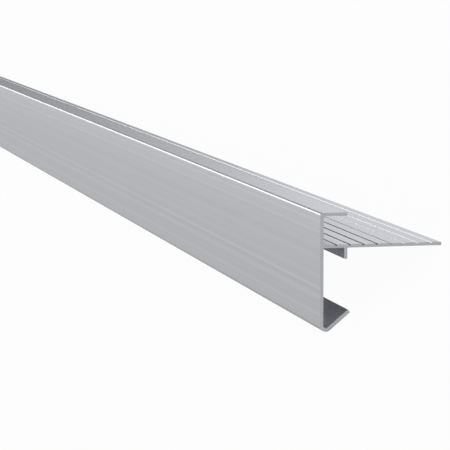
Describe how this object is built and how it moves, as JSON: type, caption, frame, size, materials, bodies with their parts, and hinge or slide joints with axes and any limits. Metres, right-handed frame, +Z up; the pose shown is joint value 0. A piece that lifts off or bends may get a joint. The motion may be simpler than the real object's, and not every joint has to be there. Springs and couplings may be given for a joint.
{
  "type": "roof edge trim",
  "caption": "Aluminium edge trim for a flat roof: upright fascia, short clamping lip, grooved roof flange with a locating web, and a turned-in drip foot.",
  "frame": {"origin": "centre of the footprint on the floor that the bar lies on, halfway along its length", "axes": "+Y along the bar's length, +Z up as it lies, +X from the fascia's foot towards the tip of the roof flange. The section lies turned by 35.65 degrees about +Y from the way it sits on a roof."},
  "size_m": [0.0568, 2.5, 0.0379],
  "materials": {
    "mill_aluminium": "mill finish, with fine streaks along the length and sawn ends"
  },
  "bodies": {
    "root": {"roof_edge_trim": "mill_aluminium"}
  },
  "joints": []
}
